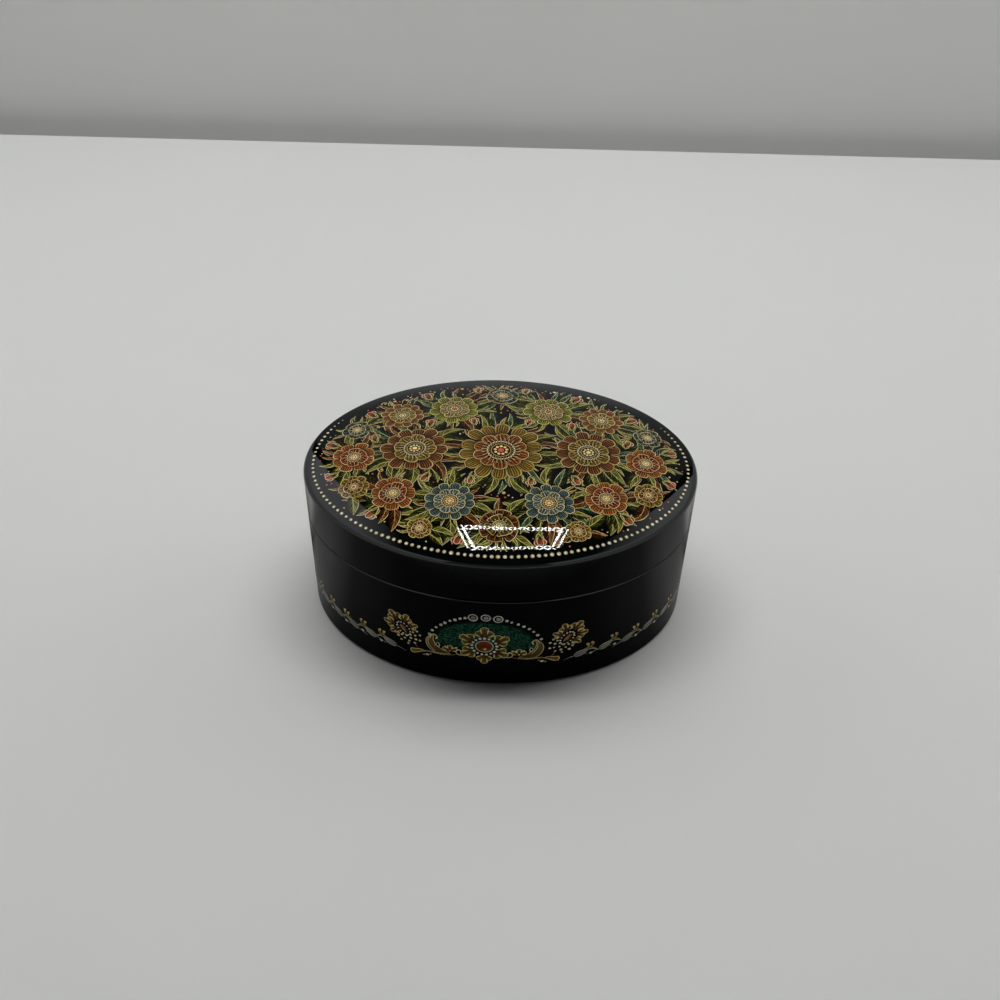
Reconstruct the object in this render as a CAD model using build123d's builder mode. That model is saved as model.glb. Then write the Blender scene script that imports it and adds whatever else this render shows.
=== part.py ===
from build123d import *

import os
from math import cos, radians, sin, sqrt, tan

# Oval lacquered papier-mache box with a hinged, gently domed lid, in millimetres.
# The box stands on the XY plane with its middle on the Z axis. The long axis of the
# oval lies along X, the painted front faces -Y and the hinge is at the back, at +Y.
# The body is a base board, an oval wall and an inner lip that stands above the seam
# and centres the lid. The lid is a shorter wall with a domed panel on top. The hinge
# is of tin strips, each folded round a wire, with their tails glued into slanting
# slots in the back walls, turn and turn about in body and lid.

# Box as a whole
box_length = 79.4
box_width = 57.0
body_height = 24.7
seam_gap = 0.3
lid_side_height = 9.7
dome_rise = 3.0

# Boards and walls
wall_thickness = 3.0
base_thickness = 2.4
panel_edge_thickness = 2.2
panel_thickness = 2.6

# Inner lip
lip_thickness = 1.2
lip_height = 2.2
lip_clearance = 0.3

# Rounded edges
base_edge_radius = 0.8
panel_edge_radius = 0.9
seam_edge_radius = 0.25
lip_edge_radius = 0.3

# Hinge
pin_radius = 0.5
pin_clearance = 0.05
pin_overhang = 0.3
strip_thickness = 0.25
strip_width = 3.0
strip_gap = 0.2
strip_count = 5
tail_reach = 3.0
tail_slope = 55.0
slot_clearance = 0.05
hinge_clearance = 0.3
lid_opening = 105.0
bevel_relief = 5.0

# How much of a half ellipse the dome's arc takes up, as a share of its half width
dome_arc_share = 0.8

# How far a cut runs past what it cuts
cut_overrun = 2.0

# Places that follow from the sizes
half_length = box_length / 2
half_width = box_width / 2
lid_bottom = body_height + seam_gap
seam_middle = (body_height + lid_bottom) / 2
rim_height = lid_bottom + lid_side_height
panel_seat = rim_height - panel_edge_thickness
apex_height = rim_height + dome_rise
lip_top = body_height + lip_height
lip_inside = wall_thickness + lip_thickness
knuckle_bore = pin_radius + pin_clearance
knuckle_radius = knuckle_bore + strip_thickness
hinge_y = half_width - knuckle_radius
groove_radius = knuckle_radius + hinge_clearance
strip_pitch = strip_width + strip_gap
hinge_length = strip_count * strip_pitch - strip_gap
pin_length = hinge_length + 2 * pin_overhang
groove_length = pin_length + 2 * hinge_clearance
bevel_angle = lid_opening / 2 + bevel_relief


def oval_ring(outer_inset, inner_inset, bottom, top):
    """Adds a wall that follows the box's oval, between two distances in from it."""
    with BuildSketch(Plane.XY.offset(bottom)) as ring:
        Ellipse(half_length - outer_inset, half_width - outer_inset)
        Ellipse(half_length - inner_inset, half_width - inner_inset, mode=Mode.SUBTRACT)
    extrude(ring.sketch, amount=top - bottom)


def domed_oval(inset, bottom, rim, rise, edge_radius=0):
    """An oval block with upright sides and a domed top, inset from the box's oval.

    The dome's section along X is an arc of an ellipse, rising by rise above the
    height rim. The block is turned on a circle and then narrowed to the oval.
    """
    reach = half_length - inset
    arc_half_width = reach / dome_arc_share
    arc_height = rise / (1 - sqrt(1 - dome_arc_share**2))
    with BuildPart() as block:
        with BuildSketch(Plane.XZ):
            with Locations((0, rim + rise - arc_height)):
                Ellipse(arc_half_width, arc_height)
            with Locations((0, bottom)):
                Rectangle(
                    reach,
                    rim + rise - bottom,
                    align=(Align.MIN, Align.MIN),
                    mode=Mode.INTERSECT,
                )
            with Locations((0, bottom)):
                Rectangle(reach, rim - bottom, align=(Align.MIN, Align.MIN))
        revolve(axis=Axis.Z)
        if edge_radius:
            rim_edge = block.edges().filter_by(GeomType.CIRCLE).sort_by(Axis.Z)[-1]
            fillet(rim_edge, edge_radius)
        scale(by=(1, (half_width - inset) / reach, 1))
    return block.part


def hinge_bar(radius, length, middle=0):
    """A round bar on the hinge's axis, apart from any part."""
    place = Location((middle, hinge_y, seam_middle), (0, 90, 0))
    return place * Cylinder(radius, length, mode=Mode.PRIVATE)


def strip_middle(index):
    """Where the middle of a strip lies along the hinge."""
    return (index - (strip_count - 1) / 2) * strip_pitch


def strip_side(index):
    """1 for a strip of the lid and -1 for one of the body, which has both ends."""
    return 1 if index % 2 else -1


def strip_tail(index, extra=0):
    """The doubled tail of a strip, wider by extra on every side.

    It slants inwards from the hinge's axis, up in the lid and down in the body.
    """
    side = strip_side(index)
    slope = radians(tail_slope)
    reach = tail_reach + extra
    middle_y = hinge_y - reach / 2 * cos(slope)
    middle_z = seam_middle + side * reach / 2 * sin(slope)
    place = Location((strip_middle(index), middle_y, middle_z), (-side * tail_slope, 0, 0))
    return place * Box(
        strip_width + 2 * extra,
        reach,
        2 * (strip_thickness + extra),
        mode=Mode.PRIVATE,
    )


def cut_hinge_seat(side):
    """Cuts one side's groove, bevels and slots into the wall being made.

    The bevels let the lid open, and almost meet when it is open all the way.
    """
    with BuildSketch(Plane.YZ.offset(-groove_length / 2)) as mouth:
        with BuildLine():
            past = knuckle_radius + cut_overrun
            half_mouth = past * tan(radians(bevel_angle))
            Polyline(
                (hinge_y, seam_middle),
                (hinge_y + past, seam_middle + half_mouth),
                (hinge_y + past, seam_middle - half_mouth),
                close=True,
            )
        make_face()
    extrude(mouth.sketch, amount=groove_length, mode=Mode.SUBTRACT)
    add(hinge_bar(groove_radius, groove_length), mode=Mode.SUBTRACT)
    for index in range(strip_count):
        if strip_side(index) == side:
            add(strip_tail(index, slot_clearance), mode=Mode.SUBTRACT)


# Base board, glued under the wall, with a rounded lower edge
with BuildPart() as base_plate:
    with BuildSketch():
        Ellipse(half_length, half_width)
    extrude(amount=base_thickness)
    fillet(base_plate.edges().sort_by(Axis.Z)[0], base_edge_radius)

# Oval wall of the body
with BuildPart() as body_wall:
    oval_ring(0, wall_thickness, base_thickness, body_height)
    fillet(body_wall.edges().group_by(Axis.Z)[-1], seam_edge_radius)
    cut_hinge_seat(-1)

# Inner lip, glued inside the wall and drawn in above the seam to clear the lid
with BuildPart() as body_lip:
    oval_ring(wall_thickness, lip_inside, base_thickness, body_height)
    oval_ring(wall_thickness + lip_clearance, lip_inside, body_height, lip_top)
    fillet(body_lip.edges().group_by(Axis.Z)[-1], lip_edge_radius)

# Oval wall of the lid
with BuildPart() as lid_wall:
    oval_ring(0, wall_thickness, lid_bottom, panel_seat)
    fillet(lid_wall.edges().group_by(Axis.Z)[0], seam_edge_radius)
    cut_hinge_seat(1)

# Domed panel of the lid, hollowed beneath inside the wall
panel_block = domed_oval(0, panel_seat, rim_height, dome_rise, panel_edge_radius)
hollow_rise = apex_height - panel_thickness - panel_seat
panel_hollow = domed_oval(wall_thickness, panel_seat - cut_overrun, panel_seat, hollow_rise)
with BuildPart() as lid_panel:
    add(panel_block)
    add(panel_hollow, mode=Mode.SUBTRACT)

# Wire of the hinge, with rounded ends
with BuildPart() as hinge_pin:
    add(hinge_bar(pin_radius, pin_length))
    fillet(hinge_pin.edges().filter_by(GeomType.CIRCLE), pin_radius / 2)

# Folded strips of the hinge, each a knuckle round the wire and a tail in the wall
hinge_strips = {}
for index in range(strip_count):
    owner = "lid" if strip_side(index) == 1 else "body"
    with BuildPart() as hinge_strip:
        add(hinge_bar(knuckle_radius, strip_width, strip_middle(index)))
        add(strip_tail(index))
        add(
            hinge_bar(knuckle_bore, strip_width + cut_overrun, strip_middle(index)),
            mode=Mode.SUBTRACT,
        )
    hinge_strips[f"{owner}_hinge_strip_{index + 1}"] = hinge_strip

sub_parts = {
    "base_plate": base_plate,
    "body_wall": body_wall,
    "body_lip": body_lip,
    "lid_wall": lid_wall,
    "lid_panel": lid_panel,
    "hinge_pin": hinge_pin,
    **hinge_strips,
}

os.makedirs("parts", exist_ok=True)
for name, sub_part in sub_parts.items():
    sub_part.part.label = name
    export_step(sub_part.part, f"parts/{name}.step")
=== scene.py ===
import bpy
import numpy as np
from mathutils import Matrix, Vector


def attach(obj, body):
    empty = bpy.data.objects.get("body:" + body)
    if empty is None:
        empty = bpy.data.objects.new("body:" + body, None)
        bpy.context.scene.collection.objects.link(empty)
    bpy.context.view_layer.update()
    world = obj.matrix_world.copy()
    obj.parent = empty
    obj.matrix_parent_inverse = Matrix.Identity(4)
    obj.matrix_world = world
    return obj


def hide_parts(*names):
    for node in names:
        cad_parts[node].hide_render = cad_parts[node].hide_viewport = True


# Small oval papier-mache box in black lacquer, with a painted lid and a painted band.
# Lengths are in millimetres until a mesh is made, and then in metres.
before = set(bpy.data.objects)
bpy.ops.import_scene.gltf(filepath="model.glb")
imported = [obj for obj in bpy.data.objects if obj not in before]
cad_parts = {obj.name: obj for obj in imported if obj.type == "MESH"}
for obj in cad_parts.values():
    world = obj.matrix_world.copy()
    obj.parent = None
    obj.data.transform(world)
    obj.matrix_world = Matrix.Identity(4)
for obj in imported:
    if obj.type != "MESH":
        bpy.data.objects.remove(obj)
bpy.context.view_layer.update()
millimetre = 0.001
print("frame loaded:", ", ".join(sorted(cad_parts)))

box = {
    "halfLength": 39.7,
    "halfWidth": 28.5,
    "baseTop": 2.4,
    "seamMiddle": 24.85,
    "halfSeam": 0.15,
    "panelSeat": 32.5,  # where the lid's panel sits on its wall
    "rim": 34.7,  # where dome and side would meet, were the edge not rounded
    "rise": 3.0,
    "hollowRise": 2.6,
    "arcShare": 0.8,  # part of a half ellipse that the dome's section takes up
    "wall": 3.0,
    "lip": 4.2,  # from the outside to the inside of the lip
    "wallRoom": 0.06,  # how far the lacquer lies in from the CAD's faces, for the paint
    "lidRoom": 0.12,
}


def linear(*colour):
    # sRGB numbers of 0 to 255 as linear light
    c = np.asarray(colour, float) / 255
    return np.where(c <= 0.04045, c / 12.92, ((c + 0.055) / 1.055) ** 2.4)


def asPoints(*parts):
    # its parts side by side in a last axis, such as x, y and z as points
    return np.stack(np.broadcast_arrays(*parts), -1)


def around(angle):
    # cosine and sine: the unit circle's points at angles in radians
    return asPoints(np.cos(angle), np.sin(angle))


def runLength(line):
    # distance along a line of points from its start, at each of them
    return np.append(0, np.cumsum(np.hypot(*np.diff(line, axis=0).T)))


def newPiece(name, points, quads, triangles, materials, kind=0):
    # a smooth mesh from whole arrays of corner numbers; kind is each face's material number
    mesh = bpy.data.meshes.new(name)
    mesh.vertices.add(len(points))
    mesh.vertices.foreach_set("co", (points * millimetre).astype(np.float32).ravel())
    corners = np.concatenate([quads.ravel(), triangles.ravel()]).astype(np.int32)
    mesh.loops.add(len(corners))
    mesh.loops.foreach_set("vertex_index", corners)
    total = np.repeat([4, 3], [len(quads), len(triangles)])
    mesh.polygons.add(len(total))
    mesh.polygons.foreach_set("loop_start", (np.cumsum(total) - total).astype(np.int32))
    mesh.polygons.foreach_set("use_smooth", np.ones(len(total), bool))
    for material in materials:
        mesh.materials.append(material)
    mesh.polygons.foreach_set("material_index", np.broadcast_to(kind, len(total)).astype(np.int32))
    mesh.update(calc_edges=True)
    piece = bpy.data.objects.new(name, mesh)
    bpy.context.scene.collection.objects.link(piece)
    return piece


def weldedPiece(name, points, quads, materials, kind=0):
    # corners in one place become one, and a quad that keeps only three becomes a triangle
    points, which = np.unique(np.round(points.reshape(-1, 3), 6), axis=0, return_inverse=True)
    quads = which.ravel()[quads]
    same = quads == np.roll(quads, -1, axis=1)
    whole, short = (same.sum(1) == k for k in (0, 1))
    step = (same[short].argmax(1)[:, None] + [1, 2, 3]) % 4
    kind = np.broadcast_to(kind, len(quads))
    kind = np.append(kind[whole], kind[short])
    triangles = np.take_along_axis(quads[short], step, 1)
    return newPiece(name, points, quads[whole], triangles, materials, kind)


def gridQuads(rows, columns, closedRows=False, closedColumns=False):
    # quads of a grid whose last row or column may join its first
    i, j = np.indices((rows - (not closedRows), columns - (not closedColumns)))
    k, m = (i + 1) % rows * columns, (j + 1) % columns
    return asPoints(i * columns + j, i * columns + m, k + m, k + j).reshape(-1, 4)


# Materials

lacquer = {
    "black": linear(2, 5, 5),
    "brown": linear(13, 9, 8),  # shows here and there where light gets under the black
    "red": linear(158, 30, 18),
    "redDeep": linear(104, 14, 10),
    "clouds": (90, 6, 0.6),  # scale, detail and roughness of its noises
    "grain": (700, 3, 0.6),
    "waves": (240, 2.0, 0.4),
    "waveStrength": 0.015,  # how far the polished coat is from flat
    "waveDepth": 0.0004,
    "ior": 1.5,
    "roughness": 0.022,
}
metals = {
    # bright and dull tone, roughness, and a scale that draws the streaks out along the hinge
    "hingeTin": (linear(196, 192, 184), linear(140, 136, 128), 0.32, (0.2, 1, 1)),
    "hingeWire": (linear(176, 172, 166), linear(120, 116, 110), 0.22, (0.1, 1, 1)),
}
metalStreaks = (900, 5, 0.6)
pigments = {
    # how much of the paint is metal powder, and how uneven the brush leaves it
    "gold": (0.15, 0.16),
    "green": (0.0, 0.14),
    "red": (0.0, 0.14),
    "white": (0.0, 0.06),
}
brushNoise = (1100, 4, 0.65)
pigmentGrains = (2600, 2, 0.5)


def plug(tree, target, inputs):
    # each input takes a number, a colour or another node's output
    for name, value in inputs.items():
        socket = target.inputs[name]
        if hasattr(value, "is_output"):
            tree.links.new(value, socket)
        else:
            socket.default_value = (*value, 1) if socket.type == "RGBA" else value


def node(tree, kind, inputs, output=0, **settings):
    # a new shader node with its settings and inputs, by way of one of its outputs
    new = tree.nodes.new("ShaderNode" + kind)
    for name, value in settings.items():
        setattr(new, name, value)
    plug(tree, new, inputs)
    return new.outputs[output]


def newMaterial(name):
    # its tree, its shader, the object's own coordinates and the material
    material = bpy.data.materials.new(name)
    material.use_nodes = True
    tree = material.node_tree
    return tree, tree.nodes["Principled BSDF"], node(tree, "TexCoord", {}, "Object"), material


def noiseOn(tree, coordinate, scale, detail, rough=0.5):
    # a noise over the coordinate, finer with its scale
    grain = {"Scale": scale, "Detail": detail, "Roughness": rough}
    return node(tree, "TexNoise", {"Vector": coordinate, **grain})


def spread(tree, value, low, high, fromLow=0.3, fromHigh=0.7):
    # a noise's middle range drawn out from low to high
    ends = {"From Min": fromLow, "From Max": fromHigh, "To Min": low, "To Max": high}
    return node(tree, "MapRange", {"Value": value, **ends})


def mixColour(tree, share, first, second):
    # from the first colour to the second by the share
    return node(tree, "Mix", {0: share, 6: first, 7: second}, 2, data_type="RGBA")


def polish(tree, shader, coordinate, inputs):
    # one clear coat over ground and paint alike, with the faint waves of a hand polish
    height = noiseOn(tree, coordinate, *lacquer["waves"])
    waves = {"Strength": lacquer["waveStrength"], "Distance": lacquer["waveDepth"], "Height": height}
    plug(tree, shader, inputs | {
        "Specular IOR Level": 0.0, "Coat Weight": 1.0, "Coat Roughness": lacquer["roughness"],
        "Coat IOR": lacquer["ior"], "Coat Normal": node(tree, "Bump", waves),
    })


def lacquerMaterial(name, deep, light, share):
    # clouds of a light tone in a deep one, under the coat
    tree, shader, coordinate, material = newMaterial(name)
    clouds = spread(tree, noiseOn(tree, coordinate, *lacquer["clouds"]), 0, share, 0.35, 0.75)
    grain = spread(tree, noiseOn(tree, coordinate, *lacquer["grain"]), 0.3, 0.5)
    polish(tree, shader, coordinate, {"Base Color": mixColour(tree, clouds, deep, light), "Roughness": grain})
    return material


def metalMaterial(name, colour, dull, roughness, stretch):
    # drawn metal: streaks along the hinge, duller where the lacquer has crept over them
    tree, shader, coordinate, material = newMaterial(name)
    drawn = node(tree, "Mapping", {"Vector": coordinate, "Scale": stretch})
    streak = noiseOn(tree, drawn, *metalStreaks)
    plug(tree, shader, {
        "Base Color": mixColour(tree, spread(tree, streak, 0, 1), dull, colour),
        "Roughness": spread(tree, streak, roughness * 1.3, roughness * 0.8),
        "Metallic": 1.0,
        "Normal": node(tree, "Bump", {"Strength": 0.1, "Distance": 0.0001, "Height": streak}),
    })
    return material


def paintMaterial(name, shine, uneven):
    # pigment under the lacquer's coat: each stroke's own colour, lighter and darker as the
    # brush left it, and grains of pigment that change how dull it is
    tree, shader, coordinate, material = newMaterial(name)
    stroke = node(tree, "Attribute", {}, "Color", attribute_name="strokeColour")
    value = spread(tree, noiseOn(tree, coordinate, *brushNoise), 1 - uneven, 1 + uneven)
    colour = node(tree, "HueSaturation", {"Color": stroke, "Value": value})
    grain = spread(tree, noiseOn(tree, coordinate, *pigmentGrains), 0.35, 0.6)
    polish(tree, shader, coordinate, {"Base Color": colour, "Roughness": grain, "Metallic": shine})
    return material


blackLacquer = lacquerMaterial("blackLacquer", lacquer["black"], lacquer["brown"], 0.35)
redLacquer = lacquerMaterial("redLacquer", lacquer["redDeep"], lacquer["red"], 1.0)
hingeTin, hingeWire = (metalMaterial(name, *settings) for name, settings in metals.items())
paints = {name: paintMaterial(name + "Paint", *settings) for name, settings in pigments.items()}
for nodeName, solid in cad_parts.items():
    metal = hingeWire if nodeName == "hinge_pin" else hingeTin
    ground = redLacquer if nodeName == "body_lip" else blackLacquer
    solid.data.materials.clear()
    solid.data.materials.append(metal if "hinge" in nodeName else ground)
print("lacquers, metals and paints mixed")

# Shells

shell = {
    "columns": 384,
    "domeRows": 56,
    "hollowRows": 22,
    "edgeRadius": 0.9,  # of the lid's upper edge
    "footRadius": 0.8,
    "seamRadius": 0.25,
    "hingeY": 27.7,
    "groove": 1.1,  # radius of the groove that the hinge lies in
    "halfGroove": 8.5,  # half its length
    "bevel": 57.5,  # degrees either side of the seam, so that the lid can tip back
    "seatRows": 11,  # across bevel and groove
    "seatColumns": 23,
    "sharp": 34,  # from this angle on an edge is shaded as sharp
}


def arc(centre, radius, fromAngle, toAngle, count):
    # points of a circle between two angles in degrees
    return np.array(centre) + radius * around(np.radians(np.linspace(fromAngle, toAngle, count)))


def onOval(angle, inset=0.0):
    # x and y of the oval at an angle from the front, or of the oval smaller by an inset
    return (box["halfLength"] - inset) * np.sin(angle), -(box["halfWidth"] - inset) * np.cos(angle)


def domeHeight(share, rise, foot):
    # the dome's section: an arc of an ellipse, by the share of the oval's radius
    height = rise / (1 - np.sqrt(1 - box["arcShare"] ** 2))
    return foot + rise - height + height * np.sqrt(1 - (box["arcShare"] * share) ** 2)


def ridesOn(piece, body, slot, *nodes):
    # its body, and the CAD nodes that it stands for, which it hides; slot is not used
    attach(piece, body)
    if nodes:
        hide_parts(*nodes)


def shellPiece(name, points, quads, red):
    # lacquered black, and red where the faces say so, with its sharp edges kept
    piece = weldedPiece(name, points, quads, [blackLacquer, redLacquer], red)
    piece.data.set_sharp_from_angle(angle=np.radians(shell["sharp"]))
    return piece


def turnedOval(name, profile, redRows):
    # a profile of radius and height turned on a circle, whose y is then narrowed to the oval;
    # both its ends lie on the axis and close there in a point
    angle = np.linspace(0, 2 * np.pi, shell["columns"], endpoint=False)
    radius, height = profile.T[..., None]
    narrow = box["halfWidth"] / box["halfLength"]
    points = asPoints(radius * np.cos(angle), radius * np.sin(angle) * narrow, height)
    red = np.repeat(np.isin(np.arange(len(profile) - 1), redRows), len(angle))
    return shellPiece(name, points, gridQuads(len(profile), len(angle), closedColumns=True), red)


def makeLidDome():
    # from the middle of the underside out to the side, round the edge and back over the dome
    side, radius = box["halfLength"] - box["wallRoom"], shell["edgeRadius"]
    share = np.sin(np.linspace(0, np.pi / 2, shell["hollowRows"]))
    below = domeHeight(share, box["hollowRise"], box["panelSeat"])
    below = asPoints(share * (box["halfLength"] - box["wall"]), below)
    rest = np.sqrt(1 - box["arcShare"] ** 2)
    slope = np.arctan(box["rise"] / (1 - rest) * box["arcShare"] ** 2 / (box["halfLength"] * rest))
    over = side * np.sin(np.linspace(np.pi / 2, 0, shell["domeRows"]))
    top = asPoints(over, domeHeight(over / box["halfLength"], box["rise"], box["rim"]) - box["lidRoom"])
    level = np.interp(side - radius + radius * np.sin(slope), over[::-1], top[::-1, 1])
    centre = side - radius, level - radius * np.cos(slope)
    edge = arc(centre, radius, 0, 90 - np.degrees(slope), 9)
    seat = box["panelSeat"]
    outside = [[side - 0.3, seat], [side, seat], [side, seat + 0.2], [side, edge[0][1] - 0.15]]
    profile = np.concatenate([below, outside, edge, top[over < edge[-1][0] - 0.2]])
    return turnedOval("lid_dome", profile, np.arange(len(below) - 1))


def makeBaseBoard():
    # from the middle of the underside round the foot's edge to the middle of the floor
    side, radius = box["halfLength"] - box["wallRoom"], shell["footRadius"]
    inner, top = box["halfLength"] - box["lip"], box["baseTop"]
    under = [[0, 0], [side - radius - 0.2, 0]]
    over = [[side, radius + 0.15], [side, top], [inner, top], [0, top]]
    profile = np.concatenate([under, arc((side - radius, radius), radius, -90, 0, 9), over])
    return turnedOval("base_board", profile, [len(profile) - 2])


def outlineY(x, inset):
    # how far back the oval's inset line runs at x
    return (box["halfWidth"] - inset) * np.sqrt(1 - (x / (box["halfLength"] - inset)) ** 2)


def grooveLine(x):
    # the hinge's seat at x, as distance back and from the seam's middle: from the outside along
    # the bevel, then round the groove to the seam
    bevel = np.radians(shell["bevel"])
    back = outlineY(x, box["wallRoom"]) - shell["hingeY"]
    past = back > shell["groove"] * np.cos(bevel)  # the bevel meets the groove inside the wall
    start = bevel if past else np.arccos(back / shell["groove"])
    end = np.pi - np.arcsin(box["halfSeam"] / shell["groove"])
    line = shell["groove"] * around(np.linspace(start, end, 40))
    if past:
        line = np.concatenate([[[back, back * np.tan(bevel)]], line])
    along = runLength(line)
    at = np.linspace(0, along[-1], shell["seatRows"] + 1)
    return asPoints(*(np.interp(at, along, part) for part in line.T)) + [shell["hingeY"], 0]


def makeWall(name, side, far, redInside):
    # a profile of inset and distance from the seam's middle, carried round the oval, and with
    # the hinge's seat in its place at the back; side is -1 for the body, 1 for the lid
    room, wall, gap, radius = box["wallRoom"], box["wall"], box["halfSeam"], shell["seamRadius"]
    half, columns = shell["halfGroove"], shell["seatColumns"]
    atEnd = grooveLine(half)
    insets = np.linspace(0, wall, 3001)
    seamInset = np.interp(-atEnd[-1][0], -outlineY(half, insets), insets)
    outer = asPoints(room, np.append(np.linspace(far, atEnd[0][1] + 1, 5), atEnd[0][1]))
    down = arc((room + radius, gap + radius), radius, 180, 270, 6)
    up = arc((wall - radius, gap + radius), radius, 270, 360, 5)
    mouth = [[room + 0.42, gap], [room + 0.7, gap], [seamInset, gap], [wall - 0.42, gap]]
    plain = np.concatenate([outer, [[room, 0.8], [room, 0.5]], down, mouth, up, [[wall, 0.55], [wall, far]]])
    inset, q = plain.T[..., None]
    reach = np.pi - np.arcsin(half / box["halfLength"]) - 0.03
    x, y = onOval(np.linspace(-reach, reach, shell["columns"]), inset)
    seatX = np.broadcast_to(np.linspace(half, -half, columns), (len(plain), columns))
    seatY, seatQ = outlineY(seatX, inset), np.repeat(q, columns, 1)
    seat = np.arange(len(outer) - 1, len(outer) + shell["seatRows"])
    lines = np.stack([grooveLine(place) for place in seatX[0]], 1)
    seatY[seat], seatQ[seat] = lines[..., 0], lines[..., 1]
    endX = np.repeat([[half, -half]], len(plain), 0)
    endY = outlineY(endX, inset)
    x = np.concatenate([x, endX[:, :1], seatX, endX[:, 1:]], 1)
    y = np.concatenate([y, endY[:, :1], seatY, endY[:, 1:]], 1)
    q = np.concatenate([np.repeat(q, shell["columns"] + 1, 1), seatQ, q], 1)
    quads = gridQuads(*x.shape, closedRows=True, closedColumns=True)
    rows = np.arange(len(plain))
    red = redInside & (rows >= seat[-1]) & (rows < rows[-1])
    points = asPoints(x, y, box["seamMiddle"] + side * q)
    return shellPiece(name, points, quads if side < 0 else quads[:, ::-1], np.repeat(red, x.shape[1]))


depth, height = box["seamMiddle"] - box["baseTop"], box["panelSeat"] - box["seamMiddle"]
ridesOn(makeLidDome(), "lid", "black_lacquer", "lid_panel")
ridesOn(makeBaseBoard(), "body", "black_lacquer", "base_plate")
ridesOn(makeWall("body_shell", -1, depth, False), "body", "black_lacquer", "body_wall")
ridesOn(makeWall("lid_shell", 1, height, True), "lid", "black_lacquer", "lid_wall")
print("lid, walls and base turned")

# Paint: strokes laid on the lacquer, each a closed sliver with its own room in the layers

brush = {
    "lowest": 0.010,  # of the first level over the lacquer
    "sunk": 0.02,  # how far a stroke's underside lies in the lacquer
    "uneven": (0.9, 1.1),  # how much lighter or darker one stroke is than the next
}
tones = {
    "gold": (206, 178, 106), "goldLight": (236, 214, 150), "goldDeep": (158, 120, 52),
    "ochre": (190, 154, 62), "oldGold": (160, 138, 74), "orange": (204, 122, 62),
    "olive": (116, 126, 40), "oliveLight": (176, 178, 72), "oliveDeep": (46, 66, 28),
    "teal": (60, 98, 64), "tealLight": (106, 144, 96), "tealDeep": (24, 52, 38),
    "moon": (34, 92, 68), "moonLight": (66, 126, 90), "moonDeep": (18, 58, 46),
    "blue": (92, 120, 118), "blueLight": (150, 172, 160), "blueDeep": (42, 66, 70),
    "brown": (132, 70, 34), "brownLight": (162, 100, 54), "brownDeep": (74, 34, 24),
    "red": (146, 48, 34), "coral": (206, 92, 62), "white": (232, 230, 216),
    "cream": (232, 220, 178), "silver": (176, 176, 164), "silverDeep": (116, 118, 108),
}
tones = {name: linear(*colour) for name, colour in tones.items()}
rng = np.random.default_rng(11)
work = {}
turns = np.linspace(-np.pi, np.pi, 8001)
wallLength = runLength(asPoints(*onOval(turns)))
wallLength -= wallLength[len(turns) // 2]


def unit(v):
    # vectors over their own length
    return v / np.maximum(np.linalg.norm(v, axis=-1, keepdims=True), 1e-9)


def onWall(plan, depth):
    # plan is arc length round the oval from the middle of the front, and height; the point
    # lies depth inside the CAD's face
    angle = np.interp(plan[..., 0], wallLength, turns)
    x, y = onOval(angle)
    out = unit(asPoints(np.sin(angle) / box["halfLength"], -np.cos(angle) / box["halfWidth"], 0))
    return asPoints(x, y, plan[..., 1]) - out * depth[..., None], out


def onLid(plan, depth):
    # plan is x and y; the point lies depth inside the CAD's dome, across its slope
    oval = np.array([box["halfLength"], box["halfWidth"]])
    height = box["rise"] / (1 - np.sqrt(1 - box["arcShare"] ** 2))
    root = np.sqrt(1 - box["arcShare"] ** 2 * ((plan / oval) ** 2).sum(-1))
    slope = height * box["arcShare"] ** 2 * plan / oval**2 / root[..., None]
    out = unit(asPoints(slope[..., 0], slope[..., 1], 1))
    top = box["rim"] + box["rise"] - height * (1 - root)
    return asPoints(plan[..., 0], plan[..., 1], top) - out * depth[..., None], out


grounds = {
    # where a body's strokes lie, the room that they have, and how thick a level of them is
    "body": (onWall, box["wallRoom"], 0.006),
    "lid": (onLid, box["lidRoom"], 0.0035),
}


def lay(piece, first, second, level, colour, across=2, shade=0.0):
    # a stroke, or several, between two edge lines; colour is one tone or a pair from start to
    # end, and shade darkens the middle of a broad stroke
    first, second = (edge if edge.ndim == 3 else edge[None] for edge in (first, second))
    count = len(first)
    colour = np.broadcast_to(colour, (count, 2, 3)) * rng.uniform(*brush["uneven"], (count, 1, 1))
    entry = (first, second, np.full(count, float(level)), colour, np.full(count, shade))
    work.setdefault(piece, {}).setdefault((first.shape[1], across), []).append(entry)


def strokeFaces(count, across):
    # the stroke's section is a closed ring: a row of corners on top, and one sunk under their
    # middle. Quads join the rings and a fan closes either end, each with its places on the map
    quads = gridQuads(count, across + 1, closedColumns=True)
    along, over = np.linspace(0.06, 0.94, count), np.linspace(0.3, 0.7, across)
    start, end = [*over, 0.08], [*over[1:], 0.92, 0.3]
    near, beyond = along[:-1, None], along[1:, None]
    spots = asPoints(asPoints(near, near, beyond, beyond), asPoints(start, end, end, start))
    k = np.arange(across - 1)
    fans, fanSpots = [], []
    for u, row, turn in ((0.03, 0, 1), (0.97, count - 1, 0)):
        a, b = k + turn, k + 1 - turn
        fans.append(row * (across + 1) + asPoints(across, a, b))
        fanSpots.append(asPoints(u, asPoints(0.5, over[a], over[b])))
    return quads, spots.reshape(-1, 4, 2), np.concatenate(fans), np.concatenate(fanSpots)


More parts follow.
